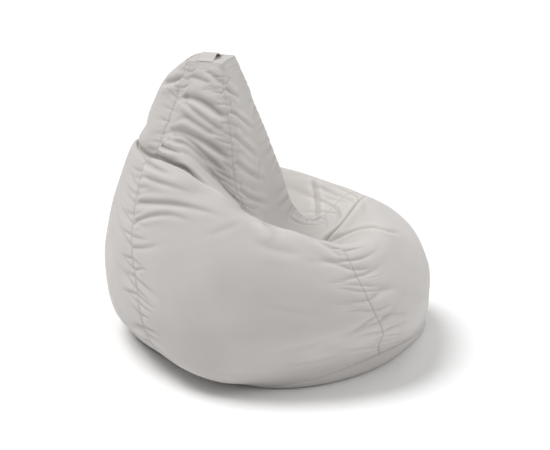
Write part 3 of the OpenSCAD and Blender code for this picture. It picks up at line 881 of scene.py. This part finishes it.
TOPSTITCH = 4.5 * MM    # from the seam
HEM_STITCH = 7 * MM     # from the hem
for side, label in enumerate(SIDES):
    line, out = beside_seam(side, TOPSTITCH, True)
    row = stitches(f"seam_stitches_{label}", line[2:-2], out[2:-2])
    dress(row, thread)
closed = np.append(np.arange(COLUMNS), 0)
hem_row = int(np.searchsorted(row_way, HEM_STITCH))
row = stitches("hem_stitches", cloth[hem_row][closed], cloth_out[hem_row][closed])
dress(row, thread)

# ---- base ----
hem_ring = cloth[0]
hem_middle = (BASE[0, :, :2].min(0) + BASE[0, :, :2].max(0)) / 2
SOLE_REACH, ROLL_REACH = 0.93, 0.975  # where the sole starts and where it leaves the floor, of the hem
ROLL_LOW = 0.4          # how far down the roll's steep part starts, as a share
ROLL_ROWS, FLAT_ROWS = 12, 16
SLOT_HALF = 9 * MM
SLOT_SPARE = 6 * MM     # how far the slot runs past the end stops
HEM_W, HEM_T = 10 * MM, 3 * MM


def pulled(ring, reach, inset, z):
    away = ring[:, :2] - hem_middle
    flat = hem_middle + away * (reach - inset / np.linalg.norm(away, axis=1))[:, None]
    return np.column_stack([flat, np.broadcast_to(z, len(flat))])


def rolled(p, t):
    """Points of a cubic curve with the control points p, at the shares t of its way."""
    t = t[:, None, None]
    return (1 - t) ** 3 * p[0] + 3 * t * (1 - t) ** 2 * p[1] + 3 * t**2 * (1 - t) * p[2] + t**3 * p[3]


def base_half(name, ring, inset, thickness, sole_z, zip_name, front):
    """Half of a base: it rolls in from the hem ring to a flat sole with a slot for the zip."""
    lo, hi = box_of(zip_name)
    zip_y = (lo[1] + hi[1]) / 2
    slot_x = box_of(zip_name.replace("slider", "end_stops"))[1][0] + SLOT_SPARE
    ordered = np.roll(np.arange(len(ring)), len(ring) // 3)  # starts behind, so that the front is one run
    is_front = ring[ordered, 1] < zip_y
    first, last = np.nonzero(is_front)[0][[0, -1]]
    if front:
        cols = ordered[first:last + 1]
    else:
        cols = np.concatenate([ordered[last:], ordered[:first + 1]])
    edge = ring[cols]
    side = -1 if front else 1

    def lines(extra):
        z = sole_z + extra
        hem = edge.copy()
        if extra:
            hem = pulled(edge, 1, extra, edge[:, 2])
        sole = pulled(edge, SOLE_REACH, inset + extra, z)
        roll = rolled([
            hem, pulled(edge, 1.0, inset + extra, z + ROLL_LOW * (edge[:, 2] - z)),
            pulled(edge, ROLL_REACH, inset + extra, z), sole,
        ], np.linspace(0, 1, ROLL_ROWS))
        run = sole[1:-1, 0]
        start_x, end_x = sole[0, 0], sole[-1, 0]
        x = slot_x * ((run - run[0]) / (run[-1] - run[0]) * -2 + 1) * np.sign(start_x - end_x)
        x = np.clip(x, -slot_x, slot_x)
        slot = np.column_stack([x, np.full(len(x), zip_y + side * SLOT_HALF), np.full(len(x), z)])
        ends = [[np.sign(v - w) * slot_x, zip_y, z] for v, w in ((start_x, end_x), (end_x, start_x))]
        slot = np.concatenate([[ends[0]], slot, [ends[1]]])
        f = np.linspace(0, 1, FLAT_ROWS)[1:, None, None]
        return np.concatenate([roll, sole + (slot - sole) * f])

    outer, inner = lines(0), lines(thickness)
    made = shell(name, outer[:, ::-1], inner[:, ::-1])
    set_uv(made, outer[:, ::-1, :2].reshape(-1, 2))
    bar_y = zip_y + side * (SLOT_HALF + HEM_W / 2)
    bar_t = HEM_T - thickness
    bar_line = [(x, bar_y, sole_z + thickness + bar_t / 2) for x in np.linspace(-slot_x, slot_x, 90)]
    bar = swept(name + "_turned", bar_line, (0, 1, 0), (0, 0, 1), HEM_W, bar_t)
    spread = np.ptp(outer[..., :2].reshape(-1, 2), axis=0)
    return joined([made, bar], name), dict(flat=tuple(spread.tolist()), area=grid_area(outer))


LINER_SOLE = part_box("liner_base_front")[0][2]
liner_hem = layer(LINER_INSET)[0]
for half in ("front", "rear"):
    piece, size = base_half(f"cover_base_{half}", hem_ring, 0, COVER_T, 0, "zip_slider", half == "front")
    set_hollow(piece)
    dress(piece, cover_cloth, nodes_stood_for=[f"base_{half}_panel"])
    piece, size = base_half(f"liner_base_{half}_cloth", liner_hem, LINER_INSET, LINER_T, LINER_SOLE,
                            "liner_zip_slider", half == "front")
    dress(piece, liner_cloth, nodes_stood_for=[f"liner_base_{half}"])


# ---- caps ----
CAP_DIP = 0.8 * MM    # how far a cap's edge dips under its seam
CAP_SLACK = 0.5 * MM  # room between a cap's edge and the panels around it


def cap(name, ring, inset, z, thickness, crown):
    """A small panel inside a ring, with a low crown."""
    middle = (ring[:, :2].min(0) + ring[:, :2].max(0)) / 2
    away = ring[:, :2] - middle
    edge = away * (1 - inset / np.linalg.norm(away, axis=1))[:, None]
    rings = 14
    f = np.linspace(1, 0.04, rings)
    flat = middle + edge[None] * f[:, None, None]
    rise = crown * (1 - f**2) ** 2 - CAP_DIP * np.exp(-((1 - f) / 0.06) ** 2)
    top = np.concatenate([flat, np.broadcast_to((z + rise)[:, None, None], (rings, len(ring), 1))], axis=2)
    under = top - [0, 0, thickness]
    count = len(ring)
    k = rings * count
    faces = ring_faces(rings, count, flip=True) + ring_faces(rings, count, k)
    one = np.arange(count)
    two = (one + 1) % count
    faces += np.stack([one, two, two + k, one + k], axis=1).tolist()
    last = (rings - 1) * count
    faces.append((last + one)[::-1].tolist())
    faces.append((last + k + one).tolist())
    made = mesh_object(name, np.concatenate([top.reshape(-1, 3), under.reshape(-1, 3)]), faces)
    set_uv(made, flat.reshape(-1, 2))
    set_hollow(made)
    ring_x, ring_y = (middle + edge).T
    area = abs(np.dot(ring_x, np.roll(ring_y, -1)) - np.dot(ring_y, np.roll(ring_x, -1))) / 2
    return made, dict(flat=(float(np.ptp(ring_x)), float(np.ptp(ring_y))), area=float(area))


cap_z = box_of("top_cap")[1][2]
top_piece, size = cap("cover_cap", cloth[-1][::2], COVER_T + CAP_SLACK, cap_z, COVER_T, 2 * MM)
dress(top_piece, cover_cloth, nodes_stood_for=["top_cap"])
liner_cap_z = box_of("liner_cap")[1][2]
liner_ring = layer(LINER_INSET + LINER_T)[LINER_ROWS - 1]
liner_top, size = cap("liner_cap_cloth", liner_ring, 2 * CAP_SLACK, liner_cap_z, LINER_T, 0)
dress(liner_top, liner_cloth, nodes_stood_for=["liner_cap"])


# ---- fill ----
def fill():
    """The beads as one body: the liner's shape a little further in, with room over its zip."""
    rows = LINER_ROWS - COARSER
    sides = layer(FILL_INSET)[:rows]
    sole_z = LINER_SOLE + LINER_T + LAYER_GAP
    ring = sides[0]
    sole = pulled(ring, SOLE_REACH, 2 * MM, sole_z)
    roll = rolled([
        sole, pulled(ring, ROLL_REACH, 2 * MM, sole_z),
        pulled(ring, 0.995, 1 * MM, sole_z + ROLL_LOW * (ring[:, 2] - sole_z)), ring,
    ], np.linspace(0, 1, 8)[:-1])
    middle = np.append(hem_middle, sole_z)
    flat = middle + (sole - middle) * np.linspace(0.05, 1, 26)[:-1, None, None]
    lo, hi = box_of("liner_zip_slider")
    tape_hi = box_of("liner_zip_tape_rear")[1]
    zip_y = (lo[1] + hi[1]) / 2
    half_x, half_y = tape_hi[0] + 4 * MM, tape_hi[1] - zip_y + 6 * MM
    slope = 20 * MM  # over which the hollow above the zip comes back down to the sole
    room = eased((half_x + slope - abs(flat[..., 0])) / slope)
    room *= eased((half_y + slope - abs(flat[..., 1] - zip_y)) / slope)
    flat[..., 2] += (hi[2] + 1 * MM - sole_z) * room
    top_z = sides[-1][:, 2].min()
    middle_top = np.append(sides[-1][:, :2].mean(0), top_z)
    g = np.linspace(1, 0.06, 8)[1:, None, None]
    top = middle_top + (sides[-1] - middle_top) * g
    grid = np.concatenate([flat, roll, sides, top])
    rows, cols = grid.shape[:2]
    faces = ring_faces(rows, cols, flip=True)
    faces.append(list(range(cols)))
    faces.append([(rows - 1) * cols + k for k in range(cols)][::-1])
    return mesh_object("bead_body", grid.reshape(-1, 3), faces)


body = fill()
dress(body, beads, nodes_stood_for=["bead_fill"])


# ---- handle ----
def handle():
    """The webbing, sewn down flat at both ends, with a low arch between them."""
    lo, hi = box_of("carry_handle")
    middle = (lo + hi) / 2
    thick = 2.0 * MM
    end = (hi[0] - lo[0]) / 2
    tab = 12 * MM
    span = end - tab
    rise = hi[2] - lo[2] - thick
    tab_x = np.linspace(span, end, 8)[1:]
    x = np.concatenate([-tab_x[::-1], np.linspace(-span, span, 60), tab_x])
    z = np.where(abs(x) < span, rise * np.cos(np.pi / 2 * np.clip(x / span, -1, 1)) ** 2, 0)
    line = np.column_stack([middle[0] + x, np.full(len(x), middle[1]), lo[2] + thick / 2 + z])
    along = np.gradient(line, axis=0)
    along /= np.linalg.norm(along, axis=1, keepdims=True)
    across = np.array([0.0, 1.0, 0.0])
    up = np.cross(along, across)
    up *= np.sign(up[:, 2:])
    width = hi[1] - lo[1]
    return swept("handle_webbing", line, -across, up, width, thick), (width, float(way_along(line)[-1]))


def bar_tacks():
    """Zigzag thread across each end of the handle, two rows at each end."""
    lo, hi = box_of("handle_bar_tacks")
    zigs, swing, apart = 60, 1.1 * MM, 6 * MM
    middles, runs = [], []
    for end in (-1, 1):
        for row in range(2):
            x = (lo[0] + hi[0]) / 2 + end * ((hi[0] - lo[0]) / 2 - swing - row * apart)
            y = np.linspace(lo[1], hi[1], zigs + 1)
            line = np.column_stack([x + swing * (-1) ** np.arange(zigs + 1), y, np.full(zigs + 1, lo[2])])
            middles.append((line[1:] + line[:-1]) / 2)
            runs.append(line[1:] - line[:-1])
    middles, runs = np.concatenate(middles), np.concatenate(runs)
    ups = np.broadcast_to(np.array([0.0, 0.0, 1.0]), middles.shape)
    return thread_bits("handle_tacks", middles + ups * 0.1 * MM, runs, ups, 0.32 * MM)


dress(bar_tacks(), thread, nodes_stood_for=["handle_bar_tacks"])
strap, strap_size = handle()
dress(strap, webbing, nodes_stood_for=["carry_handle"])


# ---- zip tapes, flap and label ----
def strip(cad_name, name, waves, swing):
    """A strip of cloth in a CAD strip's place, slightly wavy along its length."""
    lo, hi = box_of(cad_name)
    x = np.linspace(lo[0], hi[0], 240)
    middle = (lo + hi) / 2
    thick = hi[2] - lo[2]
    z = middle[2] + swing * np.sin(2 * np.pi * waves * (x - lo[0]) / (hi[0] - lo[0]))
    line = np.column_stack([x, np.full(240, middle[1]), z])
    return swept(name, line, (0, 1, 0), (0, 0, 1), hi[1] - lo[1], thick), line


def sewn_row(name, line, aside, up, depth):
    """A row of stitches on a strip, that far aside of its middle line."""
    ups = np.broadcast_to(np.array([0.0, 0.0, up]), line.shape)
    middle = line[3:-3] + [0, aside, up * depth]
    row = stitches(name, middle, ups[3:-3], pitch=3.5 * MM, length=2.6 * MM, radius=0.3 * MM)
    dress(row, thread)


for layer_name in ("", "liner_"):
    for half, way in (("front", -1), ("rear", 1)):
        cad_name = f"{layer_name}zip_tape_{half}"
        tape, line = strip(cad_name, f"{layer_name}tape_{half}", 9, 0.05 * MM)
        dress(tape, tape_cloth, nodes_stood_for=[cad_name])
        sewn_row(f"{layer_name}tape_stitches_{half}", line, way * 4 * MM, 1, 0.3 * MM)
flap, flap_line = strip("zip_flap", "zip_flap_cloth", 7, 0.05 * MM)
set_hollow(flap)
dress(flap, cover_cloth, nodes_stood_for=["zip_flap"])
sewn_row("flap_stitches", flap_line, -6 * MM, -1, 0.1 * MM)


def care_label():
    """A blank label that hangs from the back hem, and curls a little outward."""
    lo, hi = box_of("care_label")
    x, t = np.meshgrid(np.linspace(hi[0], lo[0], 20), np.linspace(0, 1, 14))
    curl = 3.5 * MM * (1 - t) ** 2 * (1 + 0.3 * np.cos(2 * np.pi * (x - lo[0]) / (hi[0] - lo[0])))
    z = lo[2] + (hi[2] - lo[2]) * t
    outer = np.stack([x, hi[1] + curl, z], axis=2)
    inner = outer - [0, hi[1] - lo[1], 0]
    made = shell("care_label_cloth", outer, inner)
    set_uv(made, np.stack([x, z], axis=2).reshape(-1, 2))
    return made


label_piece = dress(care_label(), label_cloth, nodes_stood_for=["care_label"])

# ---- zip parts that stay as the CAD has them, with their finishes ----
finishes = {"zip_teeth_front": nylon, "zip_teeth_rear": nylon, "zip_end_stops": steel, "zip_slider": steel}
for part, finish in finishes.items():
    for layer_name in ("", "liner_"):
        carried = nodes[layer_name + part].data.materials
        carried.clear()
        carried.append(finish)


# ---- floor, lights and camera ----
def stage():
    half = 12.0
    corners = [(-half, -half, 0), (half, -half, 0), (half, half, 0), (-half, half, 0)]
    floor = mesh_object("floor", corners, [(0, 1, 2, 3)], False)
    floor.data.materials.append(material("floor", (0.95, 0.95, 0.95), 0.9, specular=0.1)[0])
    floor.location.z = -0.5 * MM


def sun(name, towards, strength, angle):
    light = bpy.data.lights.new(name, "SUN")
    light.energy = strength
    light.angle = math.radians(angle)
    made = bpy.data.objects.new(name, light)
    made.rotation_mode = "QUATERNION"
    made.rotation_quaternion = Vector(towards).to_track_quat("Z", "Y")
    bpy.context.scene.collection.objects.link(made)


AZIMUTH, ELEVATION = -71, 18  # where the camera stands, in degrees
DISTANCE = 5.0                # from the chair
LENS, SENSOR = 117.8, 36      # in millimetres
CHAIR_MIDDLE = Vector((0.0147, -0.0566, 0.35))
LEFT_OF, BELOW = 0.0278, 0.0222  # where the camera aims, seen from it, beside that middle


def camera():
    a, e = math.radians(AZIMUTH), math.radians(ELEVATION)
    back = Vector((math.sin(a) * math.cos(e), -math.cos(a) * math.cos(e), math.sin(e)))
    right = Vector((math.cos(a), math.sin(a), 0))
    up = back.cross(right)
    aim = CHAIR_MIDDLE - right * LEFT_OF - up * BELOW
    cam = bpy.data.objects.new("camera", bpy.data.cameras.new("camera"))
    cam.data.sensor_width = SENSOR
    cam.data.lens = LENS
    cam.location = aim + back * DISTANCE
    cam.rotation_mode = "QUATERNION"
    cam.rotation_quaternion = (-back).to_track_quat("-Z", "Y")
    bpy.context.scene.collection.objects.link(cam)
    bpy.context.scene.camera = cam


stage()
sun("key", (0.03, 0.46, 0.89), 2.55, 38)
sun("fill", (0.12, -0.84, 0.53), 1.5, 120)
world = bpy.data.worlds.new("studio")
world.use_nodes = True
backdrop = world.node_tree.nodes["Background"].inputs
backdrop["Color"].default_value = (1, 1, 1, 1)
backdrop["Strength"].default_value = 0.22
bpy.context.scene.world = world
bpy.context.scene.view_settings.view_transform = "Standard"
camera()
